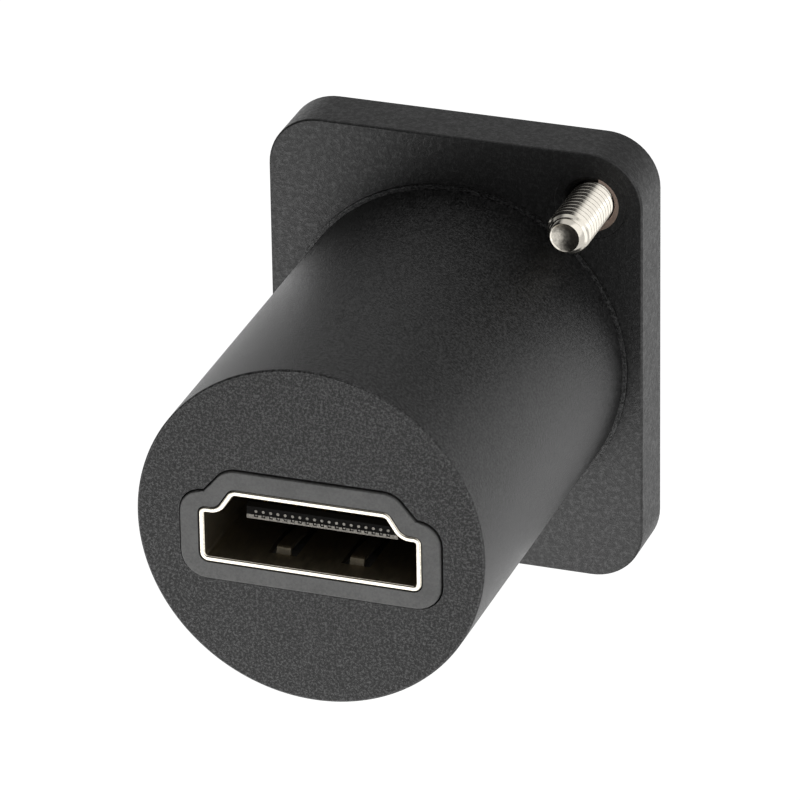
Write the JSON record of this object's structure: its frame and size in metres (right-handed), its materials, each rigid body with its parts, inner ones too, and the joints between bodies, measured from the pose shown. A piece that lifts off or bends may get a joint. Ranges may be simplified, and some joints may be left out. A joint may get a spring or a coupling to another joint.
{
  "type": "usb-c to hdmi panel feed-through adapter",
  "caption": "Round-barrelled panel feed-through with a rectangular flange, an HDMI socket in the barrel's end and a USB-C socket in the flange front.",
  "frame": {"origin": "on the barrel axis, in the flange's rear face, which lies against the panel", "axes": "+Y along the barrel axis out of the panel's front, towards the USB-C socket; the HDMI socket faces -Y with its narrow side towards +Z; +X to the right seen from behind the panel"},
  "size_m": [0.0262, 0.0332, 0.0312],
  "materials": {
    "textured_black_plastic": "spark-eroded texture, black",
    "dark_grey_plastic": "smooth moulded, dark grey",
    "nickel_sheet": "bright nickel plate on drawn sheet",
    "nickel_plated_steel": "nickel plated",
    "black_connector_plastic": "glass-filled, moulded",
    "gold_plated_copper": "gold plated",
    "board_laminate": "green solder resist",
    "chip_epoxy": "moulded epoxy",
    "crystal_can": "bright can",
    "capacitor_ceramic": "fired ceramic with tinned ends"
  },
  "bodies": {
    "root": {"housing": "textured_black_plastic", "adapter_carrier": "dark_grey_plastic", "front_bezel": "dark_grey_plastic", "hdmi_shell": "nickel_sheet", "usb_c_shell": "nickel_sheet", "usb_c_mid_plate": "nickel_sheet", "flange_screw_right": "nickel_plated_steel", "flange_screw_left": "nickel_plated_steel", "hdmi_insulator": "black_connector_plastic", "usb_c_insulator": "black_connector_plastic", "hdmi_contact_01": "gold_plated_copper", "hdmi_contact_02": "gold_plated_copper", "hdmi_contact_03": "gold_plated_copper", "hdmi_contact_04": "gold_plated_copper", "hdmi_contact_05": "gold_plated_copper", "hdmi_contact_06": "gold_plated_copper", "hdmi_contact_07": "gold_plated_copper", "hdmi_contact_08": "gold_plated_copper", "hdmi_contact_09": "gold_plated_copper", "hdmi_contact_10": "gold_plated_copper", "hdmi_contact_11": "gold_plated_copper", "hdmi_contact_12": "gold_plated_copper", "hdmi_contact_13": "gold_plated_copper", "hdmi_contact_14": "gold_plated_copper", "hdmi_contact_15": "gold_plated_copper", "hdmi_contact_16": "gold_plated_copper", "hdmi_contact_17": "gold_plated_copper", "hdmi_contact_18": "gold_plated_copper", "hdmi_contact_19": "gold_plated_copper", "usb_c_contact_a01": "gold_plated_copper", "usb_c_contact_a02": "gold_plated_copper", "usb_c_contact_a03": "gold_plated_copper", "usb_c_contact_a04": "gold_plated_copper", "usb_c_contact_a05": "gold_plated_copper", "usb_c_contact_a06": "gold_plated_copper", "usb_c_contact_a07": "gold_plated_copper", "usb_c_contact_a08": "gold_plated_copper", "usb_c_contact_a09": "gold_plated_copper", "usb_c_contact_a10": "gold_plated_copper", "usb_c_contact_a11": "gold_plated_copper", "usb_c_contact_a12": "gold_plated_copper", "usb_c_contact_b01": "gold_plated_copper", "usb_c_contact_b02": "gold_plated_copper", "usb_c_contact_b03": "gold_plated_copper", "usb_c_contact_b04": "gold_plated_copper", "usb_c_contact_b05": "gold_plated_copper", "usb_c_contact_b06": "gold_plated_copper", "usb_c_contact_b07": "gold_plated_copper", "usb_c_contact_b08": "gold_plated_copper", "usb_c_contact_b09": "gold_plated_copper", "usb_c_contact_b10": "gold_plated_copper", "usb_c_contact_b11": "gold_plated_copper", "usb_c_contact_b12": "gold_plated_copper", "main_board": "board_laminate", "converter_chip": "chip_epoxy", "regulator": "chip_epoxy", "crystal": "crystal_can", "capacitor_1": "capacitor_ceramic", "capacitor_2": "capacitor_ceramic"}
  },
  "joints": []
}
